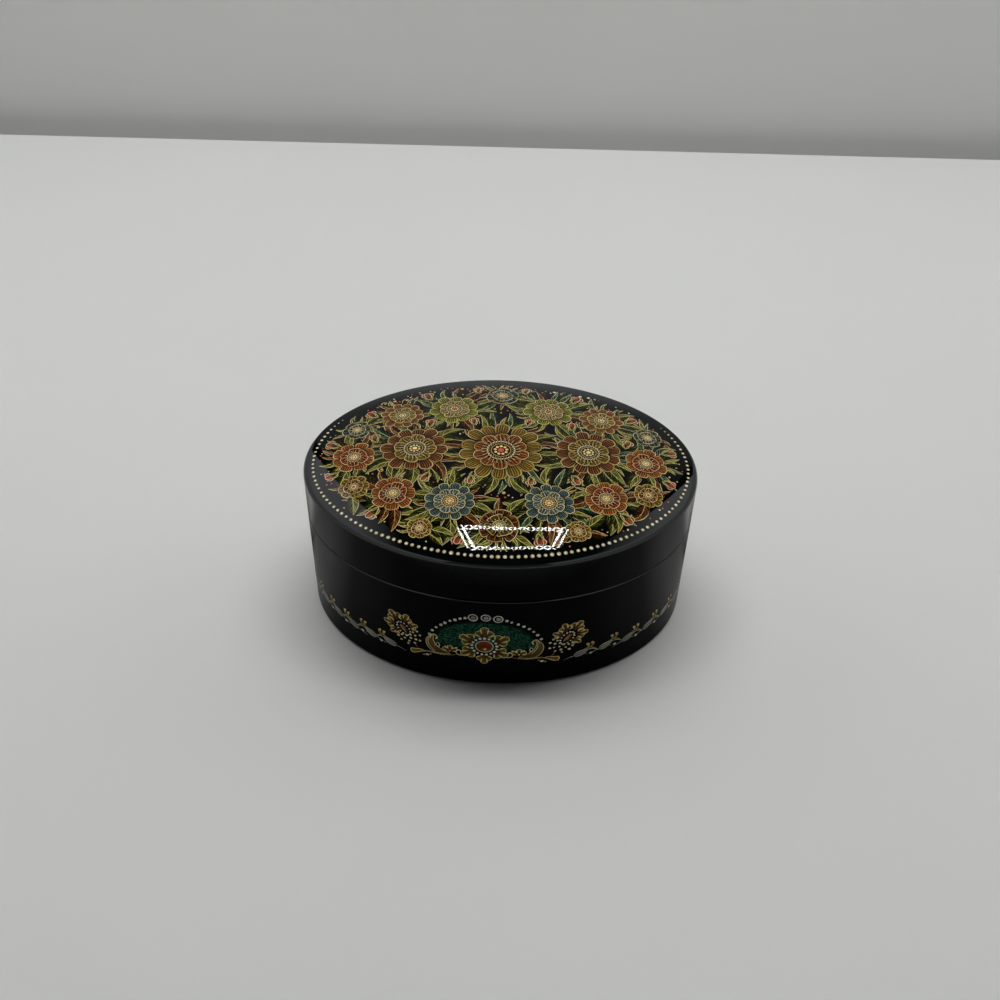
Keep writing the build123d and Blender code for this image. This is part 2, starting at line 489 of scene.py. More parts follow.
def makePaint(name, body, family):
    # every stroke of a piece at once: a grid between its two edges, put on its ground, over a
    # line sunk under its middle; each has a cell of its own on the map
    surface, room, thickness = grounds[body]
    parts = []
    corners = strokes = 0
    side = int(np.ceil(np.sqrt(sum(len(e[0]) for group in work[name].values() for e in group))))
    for (count, across), group in work[name].items():
        first, second, level, colour, shade = (np.concatenate(part) for part in zip(*group))
        run = np.diff((first + second) / 2, axis=1)
        width = (second - first)[:, :-1]
        turned = (run[..., 0] * width[..., 1] - run[..., 1] * width[..., 0]).sum(1) > 0
        first[turned], second[turned] = second[turned], first[turned].copy()
        share = np.linspace(0, 1, across)[:, None]
        plan = first[:, :, None] * (1 - share) + second[:, :, None] * share
        depth = (room - brush["lowest"] - level * thickness)[:, None, None]
        top, out = surface(plan, np.broadcast_to(depth, plan.shape[:3]))
        below, outBelow = surface((first + second) / 2, np.full(first.shape[:2], room + brush["sunk"]))
        blend = np.linspace(0, 1, count)[:, None]
        tone = colour[:, None, 0] * (1 - blend) + colour[:, None, 1] * blend
        darker = 1 - shade[:, None, None] * (1 - (2 * share[:, 0] - 1) ** 2)
        shaded = tone[:, :, None] * darker[..., None]
        rings = [
            np.concatenate([over, under[:, :, None]], 2).reshape(-1, 3)
            for over, under in ((top, below), (out, outBelow), (shaded, tone))
        ]
        quads, spots, fans, fanSpots = strokeFaces(count, across)
        shift = corners + np.arange(len(first))[:, None, None] * count * (across + 1)
        cell = strokes + np.arange(len(first))
        cell = asPoints(cell % side, cell // side)[:, None, None] / side
        quads, fans = (quads + shift).reshape(-1, 4), (fans + shift).reshape(-1, 3)
        spots, fanSpots = ((s / side + cell).reshape(-1, 2) for s in (spots, fanSpots))
        parts.append((*rings, quads, fans, spots, fanSpots))
        corners += len(rings[0])
        strokes += len(first)
    points, normals, colours, quads, fans, spots, fanSpots = (np.concatenate(part) for part in zip(*parts))
    piece = newPiece(name, points, quads, fans, [paints[family]])
    mesh = piece.data
    spots = np.concatenate([spots, fanSpots]).astype(np.float32)
    mesh.uv_layers.new(name="OFBake").uv.foreach_set("vector", spots.ravel())
    colours = np.column_stack([colours, np.ones(len(colours))]).astype(np.float32)
    mesh.attributes.new("strokeColour", "FLOAT_COLOR", "POINT").data.foreach_set("color", colours.ravel())
    mesh.normals_split_custom_set_from_vertices(normals)
    ridesOn(piece, body, f"{family}_paint")
    print(name, strokes, "strokes,", 2 * len(quads) + len(fans), "triangles")


def smooth(points, count):
    # a Catmull-Rom curve: each step is a cubic of the two points before and the two after it
    p = np.asarray(points, float)
    q = np.vstack([2 * p[0] - p[1], p, 2 * p[-1] - p[-2]])
    t = np.linspace(0, len(p) - 1, count)
    i = np.minimum(t.astype(int), len(p) - 2)
    f = (t - i)[:, None]
    a, b, c, d = (q[i + k] for k in range(4))
    return 0.5 * (2 * b + (c - a) * f + (2 * a - 5 * b + 4 * c - d) * f**2 + (3 * b - a - 3 * c + d) * f**3)


def bow(base, tip, bend, count):
    # a parabola from base to tip, bowed to the left by a share of its length
    base, tip = np.asarray(base, float), np.asarray(tip, float)
    x, y = tip - base
    middle = (base + tip) / 2 + 2 * bend * np.array([-y, x])
    t = np.linspace(0, 1, count)[:, None]
    return (1 - t) ** 2 * base + 2 * t * (1 - t) * middle + t**2 * tip


def polar(centre, radius, degrees):
    # points at a distance and an angle from the centre
    return centre + radius * around(np.radians(degrees))


def stroke(piece, middle, width, level, colour, across=2, shade=0.0):
    # half its width to either side of its middle line at each point; returns both edges
    x, y = unit(np.gradient(middle, axis=0)).T
    side = asPoints(-y, x) * width[:, None] / 2
    lay(piece, middle + side, middle - side, level, colour, across, shade)
    return middle + side, middle - side


def line(piece, points, width, level, colour, count=None):
    # a brush line whose widths are spread evenly from its start to its end, and which is first
    # smoothed where a count is given
    points = np.asarray(points, float) if count is None else smooth(points, count)
    width = np.atleast_1d(width)
    at = np.linspace(0, 1, len(points))
    stroke(piece, points, np.interp(at, np.linspace(0, 1, len(width)), width), level, colour)


def dots(piece, centres, radius, level, colour, stretch=1.0):
    # round touches of the brush: five corners on the upper half of a circle, and their mirror
    centres = np.atleast_2d(np.asarray(centres, float))
    half = around(np.radians([172, 132, 90, 48, 8])) * [stretch, 1]
    half = half * np.broadcast_to(radius, len(centres))[:, None, None]
    lay(piece, centres[:, None] + half, centres[:, None] + half * [1, -1], level, colour)


def ring(piece, centre, radius, width, level, colour, count=20, squash=(1, 1)):
    # a line round a circle, which may be squashed to an oval
    circle = around(np.linspace(0, 2 * np.pi * 0.995, count)) * squash
    line(piece, centre + radius * circle, width, level, colour)


forms = {
    # width along a blade from its base to its tip, as a share of the widest
    "leaf": lambda t: np.sin(np.pi * t**0.75) ** 0.85,
    "petal": lambda t: np.clip(t**0.6 * np.sqrt(np.clip(1 - t**5, 0, 1)) * 1.16, 0, 1),
    "drop": lambda t: np.clip(t**0.9 * np.sqrt(np.clip(1 - t**7, 0, 1)) * 1.15, 0, 1),
    "spoon": lambda t: np.sin(np.pi * t) ** 0.7,
    "tongue": lambda t: np.sin(np.pi * np.clip(t, 0, 1) ** 1.15) ** 0.6,
}


def blade(piece, middle, width, form, level, colour, across=4, shade=0.0):
    # a leaf, petal or drop as one broad stroke, as wide as its form says at each point
    width = np.maximum(width * forms[form](np.linspace(0, 1, len(middle))), 0.05)
    return stroke(piece, middle, width, level, colour, across, shade)

# Band round the body: a rosette in a half-moon, a flower either side and a running vine

band = {
    "middle": -2.3,  # the band's middle lies a little left of the front's
    "rosette": (11.8, 2.75, ((90, 5.7), (30, 5.6), (150, 5.6), (-32, 5.5), (-148, 5.5), (-90, 5.2))),
    "moonFoot": 11.3,
    "moonHalf": 10.3,
    "moonTop": 18.9,
    "moonDots": (  # over its edge, from its foot
        (-11.0, 2.1), (-10.4, 3.4), (-9.6, 4.5), (-8.6, 5.5), (-7.8, 6.3), (-6.8, 7.1),
        (-5.8, 7.6), (-4.8, 8.15), (-3.8, 8.45), (4.3, 8.3), (5.2, 7.8), (6.5, 7.2),
        (7.6, 6.5), (8.7, 5.7), (9.6, 4.8), (10.4, 3.7), (11.2, 2.4),
    ),
    "moonRings": ((-2.3, 8.8), (0.2, 8.95), (2.6, 8.7)),
    "flower": (16.5, 13.0, 34),  # how far from the middle, how high, and how far it leans out
    "flowerPetals": ((0, 2.1, 4.7), (50, 1.8, 4.1), (-50, 1.8, 4.1), (100, 1.7, 3.6), (-100, 1.7, 3.6)),
    "flowerRows": ((2.3, 66, 0.26, 6), (3.05, 54, 0.29, 5), (3.8, 40, 0.3, 4), (4.5, 20, 0.27, 3)),
    "vine": 7.6,
    "vineStart": 18.2,
    "pitch": 5.05,  # of the vine's repeats
    "repeats": 15,
    "duller": {  # the band is painted in thinner, duller coats than the lid
        "goldLight": 0.98, "gold": 0.84, "oldGold": 0.62, "goldDeep": 0.5, "cream": 0.95, "white": 0.85,
        "silver": 0.98, "silverDeep": 0.9, "brown": 0.9, "moon": 0.55, "moonLight": 0.66, "moonDeep": 0.6,
    },
}
bandGold, bandGreen, bandRed, bandWhite = (f"body_paint_{name}" for name in pigments)


def tint(name, share=1.0):
    # a tone as the band has it
    return tones[name] * band["duller"].get(name, 1) * share


def lobe(foot, tip, width, level):
    # one lobe of a petal: dark at the foot, a brown streak up the middle, a light rim
    middle = bow(foot, tip, 0.0, 9)
    edges = blade(bandGold, middle, width, "petal", level, (tint("goldDeep", 0.35), tint("oldGold")), 4, 0.25)
    line(bandGold, middle[:7], (0.2, 0.14, 0.06), level + 1 / 3, tint("brownDeep", 0.6))
    for edge in edges:
        inner = edge[1:7] * 0.55 + middle[1:7] * 0.45
        lit = inner[2:] + (edge[3:7] - inner[2:]) * 0.4
        line(bandGold, inner, (0.06, 0.14, 0.04), level + 1 / 3, tint("brownDeep", 0.5))
        line(bandGold, lit, (0.05, 0.22, 0.12), level + 1 / 3, tint("goldLight") * [0.86, 0.92, 0.5])
        rim = edge[2:] * 0.95 + middle[2:] * 0.05
        line(bandWhite, rim, (0.05, 0.15, 0.1), level + 2 / 3, tint("goldLight"))


def bandPetal(centre, direction, near, reach, level, size=1.0):
    # three lobes side by side, the middle one longest and on top
    start = polar(centre, near, direction)
    length = reach - near
    for turn, share in ((-46, 0.76), (46, 0.76), (0, 1.0)):
        tip = polar(start, length * share, direction + turn)
        lobe(start, tip, 0.62 * length * size, level + (turn == 0))
    streak = [polar(centre, near * 0.9, direction), polar(start, 0.55 * length, direction)]
    line(bandGold, streak, (0.3, 0.06), level + 1.67, tint("brown"), 4)


def ovalDots(centre, radii, turn, count, size, level):
    # white dots along an oval turned by an angle
    c, s = around(np.radians(turn))
    spots = radii * around(np.linspace(0, 2 * np.pi, count, endpoint=False)) @ np.array([[c, s], [-s, c]])
    dots(bandWhite, centre + spots, size * rng.uniform(0.85, 1.12, count), level, tones["white"])


def makeRosette():
    # six petals round a heart that has a light lower edge and a ring
    height, near, petals = band["rosette"]
    centre = np.array([band["middle"], height])
    for direction, reach in petals:
        bandPetal(centre, direction, near, reach, 2, 1.12)
    disc = centre + np.linspace([-1.62, 0], [1.62, 0], 15)
    blade(bandRed, disc, 3.1, "tongue", 2, tint("brown"), 7, 0.45)
    bright = centre + 1.2 * around(np.linspace(0.5, 2.6, 12)) * [1, 0.9]
    line(bandRed, bright, (0.1, 0.5, 0.1), 3, tint("red"))
    ring(bandWhite, centre, 1.7, 0.16, 3, tint("cream"), 28, (1.02, 0.97))
    dots(bandGold, centre + [0.1, -0.8], 0.45, 3, tint("oldGold"), 1.1)
    dots(bandWhite, centre + [0.12, -0.78], 0.24, 4, tint("goldLight"))
    ovalDots(centre, (2.5, 2.42), 5, 17, 0.29, 4)


def makeHalfMoon():
    # the ground between two lines: an oval's upper half, and a shallow arc under it
    t = np.linspace(0, np.pi, 33)
    half, rise = band["moonHalf"], band["moonTop"] - band["moonFoot"]
    origin = np.array([band["middle"], band["moonFoot"]])
    upper = origin + asPoints(-half * np.cos(t), rise * np.sin(t) ** 0.92)
    lower = origin + asPoints(-(half - 0.4) * np.cos(t), -0.1 - 0.5 * np.sin(t))
    lay(bandGreen, upper, lower, 0, tint("moonDeep"), 9)
    # stippling: touches of lighter and darker green over the whole ground
    spots = rng.uniform([-1, 0], [1, 1], (1500, 2))
    spots = origin + spots[(spots**2).sum(1) < 0.93] * [half, rise]
    shade = rng.uniform(0, 1, (len(spots), 1, 1)) ** 1.6
    colour = tint("moon") * (1 - shade) + tint("moonLight") * shade
    dots(bandGreen, spots, rng.uniform(0.08, 0.17, len(spots)), 1, colour, 1.3)
    # white dots over its edge, with a group of three rings at the top
    count = len(band["moonDots"])
    dots(bandWhite, origin + band["moonDots"], rng.uniform(0.29, 0.38, count), 2, tint("white"))
    for place in origin + band["moonRings"]:
        ring(bandWhite, place, 0.88, 0.24, 2, tint("white"), 20)
        place = place + [0.05, -0.05]
        ring(bandWhite, place, 0.36, 0.2, 2, tint("silver"), 12)
        dots(bandWhite, place, 0.12, 2, tint("white"))


scroll = {
    # points from the band's middle outwards
    "leaf": ((6.8, 8.45), (8.9, 8.7), (10.3, 9.7), (10.95, 11.2), (10.75, 12.5), (10.1, 13.3)),
    "blossom": (6.9, 9.5),
    "drop": ((11.8, 7.85), (12.9, 7.8), (14.3, 7.25), (15.2, 7.15)),
    # curls and stems: paint, tone, level, widths, count and points
    "curls": (
        (bandWhite, "goldLight", 3, (0.1, 0.24, 0.34), 14,
         ((10.9, 12.3), (10.6, 13.4), (9.9, 13.55), (9.45, 12.9), (9.75, 12.3))),
        (bandWhite, "cream", 3, (0.08, 0.18, 0.26), 14,
         ((10.0, 10.2), (9.4, 11.3), (9.0, 10.9), (9.15, 10.2), (9.55, 10.3))),
        (bandWhite, "cream", 3, (0.08, 0.18, 0.26), 16,
         ((3.6, 8.9), (4.8, 8.55), (5.6, 9.1), (5.5, 9.9), (4.95, 10.1), (4.7, 9.7))),
        (bandGold, "oldGold", 2, (0.14, 0.3, 0.14), 16,
         ((5.0, 8.75), (6.8, 8.2), (9.4, 7.95), (12.0, 7.95), (13.0, 7.6))),
        (bandWhite, "goldLight", 3, (0.05, 0.1, 0.05), 9, ((7.0, 8.5), (9.0, 8.15), (11.6, 8.2))),
    ),
}


def makeScroll(side):
    # beside the rosette: an upright leaf with a rolled tip, a small blossom, curls and a drop
    def at(*places):
        return np.array(places) * [side, 1] + [band["middle"], 0]

    middle = smooth(at(*scroll["leaf"]), 19)
    edges = blade(bandGold, middle, 2.0, "leaf", 1, (tint("goldDeep", 0.4), tint("oldGold")), 5, 0.3)
    for edge in edges:
        line(bandWhite, edge, (0.05, 0.14, 0.08), 2, tint("goldLight"))
    for piece, edge, tone in ((bandWhite, edges[0], "cream"), (bandGold, edges[1], "brownDeep")):
        line(piece, (middle[5:17] + edge[5:17]) / 2, (0.05, 0.12, 0.05), 2, tint(tone))
    for piece, tone, level, width, count, places in scroll["curls"]:
        line(piece, at(*places), width, level, tint(tone), count)
    blossom = at(scroll["blossom"])[0]
    for direction in (90, 25, 155):
        lobe(blossom, polar(blossom, 1.6, direction), 1.35, 3 + (direction == 90))
    dots(bandGold, blossom - [0, 0.05], 0.34, 5, tint("brown"))
    dots(bandWhite, blossom - [0, 0.05], 0.17, 5.33, tint("cream"))
    dots(bandWhite, at((5.6, 10.6), (7.85, 10.55)), (0.24, 0.2), 4, tint("white"))
    drop = smooth(at(*scroll["drop"]), 11)
    for edge in blade(bandGold, drop, 1.5, "drop", 2, (tint("goldDeep", 0.6), tint("oldGold")), 5, 0.2):
        line(bandWhite, edge, (0.06, 0.18, 0.14), 3, tint("goldLight"))
    line(bandGold, drop[5:9], (0.1, 0.3, 0.1), 3, tint("brown"))
    dots(bandWhite, at((11.6, 6.95)), 0.3, 3, tint("white"), 1.3)
    dots(bandGold, at((12.3, 6.7), (10.9, 7.3)), (0.2, 0.16), 3, tint("gold"), 1.3)


def makeSideFlower(side):
    # an oval blossom that leans outwards: lobed petals round its upper half, a red heart and
    # rows of pale dots under it, laid like scales
    away, height, tilt = band["flower"]
    centre = np.array([band["middle"] + side * away, height])
    lean = 90 - side * tilt
    axis, across = around(np.radians(lean)), around(np.radians(lean + 90))
    for turn, near, reach in band["flowerPetals"]:
        bandPetal(centre + 0.5 * axis, lean + turn, near, reach, 1)
    heart = centre + np.linspace(-1.3, 1.3, 13)[:, None] * axis
    blade(bandRed, heart, 1.3, "tongue", 4, (tint("brownDeep"), tint("brown")), 5, 0.25)
    line(bandWhite, heart[1:-1] + 0.15 * across, (0.06, 0.16, 0.06), 5, tint("goldLight"))
    line(bandWhite, heart[3:-1] - 0.2 * across, (0.05, 0.1, 0.05), 5, tint("gold"))
    ovalDots(centre, (1.85, 1.2), lean, 14, 0.2, 5)
    for reach, half, size, count in band["flowerRows"]:
        spots = polar(centre + 0.35 * axis, reach, lean + 180 + np.linspace(-half, half, count))
        size = size * rng.uniform(0.75, 1.0, count)
        dots(bandWhite, spots, size, 5, tint("white" if count % 2 else "goldLight"), 1.1)
    stem = bow(centre - 4.3 * axis, [band["middle"] + side * 12.9, 7.8], 0.12 * side, 9)
    line(bandGold, stem, (0.24, 0.16, 0.1), 1, tint("oldGold"))


def makeVine(side):
    # the running vine: a silver leaf, a pair of stems, two gold buds above and a dot below,
    # again and again round the side to the hinge
    for k in range(band["repeats"]):
        start = band["middle"] * (1 - min(k / 6, 1)) + side * (band["vineStart"] + band["pitch"] * k)
        height = band["vine"] + 0.25 * np.sin(k * 2.1)

        def at(*places):
            return np.array(places) * [side, 1] + [start, height]

        line(bandGold, at((-2.1, -1.35), (-1.1, -0.95), (0.2, -0.6)), (0.06, 0.16), 1, tint("silver"), 6)
        leaf = smooth(at((-0.1, -0.65), (0.8, -0.45), (1.9, -0.05), (3.0, 0.4)), 11)
        ends = tint("silverDeep"), tint("silver", 0.8)
        left, right = blade(bandWhite, leaf, 1.5, "spoon", 1, ends, 4, 0.15)
        line(bandWhite, leaf[2:], (0.04, 0.12, 0.04), 2, tint("silver"))
        line(bandWhite, right[1:], (0.05, 0.14, 0.08), 2, tint("silver"))
        line(bandWhite, left[1:], (0.05, 0.14, 0.08), 2, tint("white"))
        stem = at((2.6, 0.15), (3.6, 0.4), (4.6, -0.05), (5.4, -0.7))
        line(bandGold, stem, (0.24, 0.2, 0.14), 1, tint("silver"), 9)
        stem = at((1.6, 0.4), (2.9, 1.0), (4.2, 0.55), (5.1, -0.3))
        line(bandGold, stem, (0.1, 0.18, 0.1), 1, tint("gold"), 9)
        for out, up in ((0.0, 0.0), (1.0, 0.15)):
            tip = (3.05 + out, 1.85 + up), (2.55 + out, 2.3 + up)
            bud = smooth(at((2.5, 0.5), (3.0 + out * 0.8, 1.05 + up), *tip), 8)
            blade(bandGold, bud, 0.8, "drop", 2, (tint("oldGold"), tint("gold")), 3)
            dots(bandWhite, bud[-2], 0.24, 3, tint("goldLight"))
        dots(bandWhite, at((3.7, -0.95)), 0.32, 2, tint("white"), 1.2)
        dots(bandGold, at((2.3, -0.6), (2.75, -0.9)), (0.15, 0.11), 2, tint("gold"))


makeHalfMoon()
makeRosette()
for side in (-1, 1):
    makeScroll(side)
    makeSideFlower(side)
    makeVine(side)
for family in pigments:
    makePaint(f"body_paint_{family}", "body", family)
print("band painted")

# Lid: a bouquet in the folk manner, laid out afresh, inside a border of dots

lidPlan = {
    "half": (36.9, 25.7),  # the painted oval
    "border": 2.03,  # how far the dots lie in from the rim
    "dotPitch": 1.24,
    "dotRadius": 0.35,
    "dotsEnd": 118,  # the border fades out this far round from the front, in degrees
    "shade": linear(14, 11, 9),  # the dark margin that parts every form from the next
    "fill": 0.15,  # how deep the broad strokes are toned down, and the fine ones over them
    "fine": 0.82,
}
blooms = {
    # per kind: outer and inner petals as (count, tone, deep tone, family), then the heart's tones
    "gold": ((14, "ochre", "brown", "gold"), (10, "orange", "brownDeep", "red"), "brownDeep", "coral"),
    "rust": ((12, "brownLight", "brownDeep", "red"), (8, "ochre", "brown", "gold"), "tealDeep", "goldLight"),
    "teal": ((12, "blue", "blueDeep", "green"), (8, "blueLight", "tealDeep", "green"), "brown", "goldLight"),
    "coral": ((8, "orange", "brown", "red"), (6, "coral", "brownDeep", "red"), "goldDeep", "cream"),
    "olive": ((10, "oliveLight", "oliveDeep", "green"), (8, "gold", "brown", "gold"), "brownDeep", "coral"),
}
bouquet = {
    # heads as x, y, radius and kind, and buds as x, y, radius, angle and tone, on either side
    "heads": (
        (0, 1.2, 8.8, "gold"), (17.4, 1.4, 6.9, "rust"), (29.2, -0.4, 4.4, "coral"),
        (9.7, -13.4, 5.1, "teal"), (20.7, -11.3, 4.5, "coral"), (0, -19.6, 4.0, "rust"),
        (9.9, 14.9, 5.2, "olive"), (0, 20.4, 3.5, "teal"), (20.7, 12.8, 4.6, "rust"),
        (29.8, 8.2, 3.0, "teal"), (28.8, -9.4, 3.1, "gold"), (15.2, -20.0, 2.5, "gold"),
    ),
    "buds": (
        (34.0, 3.6, 1.7, 18, "orange"), (25.6, 4.9, 1.5, 70, "orange"), (15.6, 19.9, 1.7, 62, "coral"),
        (5.1, 22.6, 1.4, 80, "orange"), (24.2, -16.0, 1.7, -45, "orange"), (7.6, -22.4, 1.5, -75, "coral"),
        (33.2, -5.7, 1.5, -30, "coral"), (14.7, -6.8, 1.5, -60, "orange"), (26.9, 13.4, 1.6, 40, "coral"),
        (5.9, -7.6, 1.3, -85, "orange"), (14.6, 9.6, 1.5, 95, "coral"), (5.6, 10.3, 1.3, 75, "coral"),
    ),
    "leaves": ((5.6, 2.3, 18), (4.2, 1.7, 20), (3.0, 1.2, 24), (2.1, 0.9, 24)),  # length, width, tries
    "leafTones": ("olive", "teal", "brown"),
    "leafShares": ((0.62, 0.13, 0.25), (0.35, 0.4, 0.25)),  # of them, in front and at the back
    "back": 11,  # where that starts
    "curls": 16,  # tries at each head
    "touches": 2600,  # tries at berries and fine dots
}
claimed = {}


def fine(name, share=1.0):
    # a tone as the lid's fine strokes have it
    return tones[name] * lidPlan["fine"] * share


def leaf(base, tip, width, bend, level, tone, veins):
    # a dark margin, the blade in shadow, its lit half, a bright rib and side veins, a pale edge
    middle = bow(base, tip, bend, 9)
    fill, brown = lidPlan["fill"], tone == "brown"
    deep, light = tones[tone + "Deep"], tones[tone + "Light"]
    name = "lid_paint_red" if brown else "lid_paint_green"
    blade(name, middle, width + 0.26, "leaf", level, lidPlan["shade"], 4)
    ends = deep * 0.1, tones[tone] * fill
    left, right = blade(name, middle, width, "leaf", level + 1 / 3, ends, 4, 0.2)
    lay(name, middle + (left - middle) * 0.9, middle, level + 2 / 3, (deep * 0.3, light * fill * 1.7), 3)
    line("lid_lines_gold", middle, (0.1, 0.11, 0.04), level + 1, fine("gold" if brown else "goldLight"))
    for k in range(veins):
        i = 1 + 6 * k // veins
        for edge, share, bright in ((left, 0.86, 1.3), (right, 0.8, 0.5)):
            vein = bow(middle[i], middle[i + 2] + (edge[i + 2] - middle[i + 2]) * share, 0.06, 4)
            line("lid_lines_gold", vein, (0.08, 0.08, 0.03), level + 1, fine(tone + "Light", bright))
    edge = middle[2:] + (left[2:] - middle[2:]) * 0.97
    line("lid_paint_white", edge, (0.03, 0.13, 0.05), level + 1, fine("goldLight"))


def petal(base, tip, width, bend, level, tone, hatch, family, outline, deep):
    # a dark margin, the petal rising out of shadow at its foot, bright lines fanning over it in
    # its own tone, and a pale edge round its end
    middle = bow(base, tip, bend, 11)
    fill, name = lidPlan["fill"], f"lid_paint_{family}"
    further = bow(base, tip + 0.14 * unit(tip - base), bend, 11)
    blade(name, further, width + 0.32, "petal", level, lidPlan["shade"], 5)
    ends = tones[deep] * 0.04, tones[tone] * fill
    left, right = blade(name, middle, width, "petal", level + 1 / 3, ends, 5, 0.12)
    for k in range(hatch):
        v = (k + 0.5) / hatch
        ends = tones[tone] * fill, fine(tone, (0.9 + 0.5 * (k % 2)) * (1.25 - 0.6 * v))
        path = left[2:10] * (1 - v) + right[2:10] * v
        line("lid_paint_gold", path, (0.03, 0.15, 0.12), level + 2 / 3, ends)
    for edge in (left, right):
        rim = edge[4:] * 0.96 + middle[4:] * 0.04
        line("lid_paint_white", rim, (0.02, 0.12, 0.13), level + 1, fine(outline))


def claim(middle, half, *levels):
    # the first level where a blade's discs touch none laid before, or None
    for level in levels:
        held = claimed.setdefault(level, [np.zeros((0, 3))])
        others = np.concatenate(held)
        gap = np.linalg.norm(middle[:, None] - others[None, :, :2], axis=-1) - half[:, None] - others[:, 2]
        if gap.size == 0 or gap.min() > -0.04:
            held.append(np.column_stack([middle, half]))
            return level
    return None


def inside(points, margin):
    # whether all the points lie in the painted oval
    return ((points / (np.array(lidPlan["half"]) - margin)) ** 2).sum(-1).max() < 1


def tryLeaf(base, tip, width, bend, tone, veins):
    # a leaf on the first level that has room for it; returns whether there was one
    middle = bow(base, tip, bend, 9)
    half = np.maximum((width + 0.26) * forms["leaf"](np.linspace(0, 1, 9)) / 2, 0.05)
    level = claim(middle, half, 0, 1.4) if inside(middle, 0.3) else None
    if level is not None:
        leaf(base, tip, width, bend, level, tone, veins)
    return level is not None


def bloom(centre, radius, kind, turn):
    # two rings of petals, every other one on top, then a heart of rings, dots and stamens
    outer, inner, heart, bead = blooms[kind]
    small = radius < 4.2
    for (count, tone, deep, family), near, end, level, wide, hatch in (
        (outer, 0.4, 1.0, 3, 1.14, 6), (inner, 0.2, 0.64, 5.7, 1.18, 4),
    ):
        count -= 2 * (count // 4) * small
        for k in range(count):
            odd = k % 2
            angle = turn + 360 * k / count + rng.uniform(-2, 2) + 9 * (level > 3)
            reach = end * rng.uniform(0.95, 1.03) * (1.0 if odd else 0.955)
            width = 2 * np.pi * radius * end * 0.8 / count * wide
            base, tip = polar(centre, radius * near, angle), polar(centre, radius * reach, angle)
            bend, outline = rng.uniform(-0.05, 0.05), "goldLight" if odd else "gold"
            hatched = hatch // (1 + small)
            petal(base, tip, width, bend, level + 1.34 * odd, tone, hatched, family, outline, deep)
    disc = centre + np.linspace([-radius * 0.235, 0], [radius * 0.235, 0], 11)
    blade("lid_paint_red", disc, radius * 0.46, "tongue", 8.4, fine(heart, 0.6), 5, -0.2)
    ring("lid_paint_gold", centre, radius * 0.225, 0.14, 8.74, fine("gold"), 20)
    spots = polar(centre, radius * 0.135, np.arange(9) * 40 + turn)
    dots("lid_paint_gold", spots, radius * 0.03 + 0.05, 8.74, fine("goldLight"))
    dots("lid_paint_red", centre, radius * 0.07, 8.74, fine(bead))
    count = int(np.clip(radius * 3.6, 11, 26))
    spots = polar(centre, radius * 0.31, np.arange(count) * 360 / count)
    dots("lid_paint_white", spots, 0.07 + radius * 0.012, 9.4, fine("cream"))
    for k in range(count):
        angle = 360 * (k + 0.5) / count + np.array([0, 0, 3])
        stamen = polar(centre, radius * np.array([[0.25], [0.36], [0.45]]), angle)
        line("lid_paint_gold", stamen, (0.05, 0.08, 0.12), 9.4, fine("goldLight"))


def bud(centre, radius, angle, tone):
    # three petals closed over one another above a green cup
    for turn, level in ((-32, 3), (32, 4.4), (0, 5.8)):
        base, tip = polar(centre, -radius * 0.6, angle), polar(centre, radius, angle + turn)
        petal(base, tip, radius * 0.95, 0.0, level, tone, 4, "red", "cream", "brown")
    for turn, level in ((-58, 7.2), (58, 7.9)):
        base, tip = polar(centre, -radius * 0.9, angle), polar(centre, radius * 0.55, angle + turn)
        leaf(base, tip, radius * 0.5, 0.1 * np.sign(turn), level, "olive", 2)


def curl(base, angle, size, hand):
    # a fine gold tendril that winds in on itself: its heading turns faster and its steps get
    # shorter to its end, where a dot lies
    t = np.linspace(0, 1, 22)
    heading = np.radians(angle) + hand * (0.4 * t + 5.2 * t**2.2)
    step = size * (1 - 0.62 * t) / 22 * 2.2
    path = base + np.cumsum(around(heading) * step[:, None], axis=0)
    if inside(path, 0.2) and claim(path[::3], np.full(8, 0.12), 0) is not None:
        line("lid_paint_gold", path, (0.1, 0.26, 0.1), 0, fine("gold"))
        dots("lid_paint_gold", path[-1], 0.22, 1 / 3, fine("goldLight"))


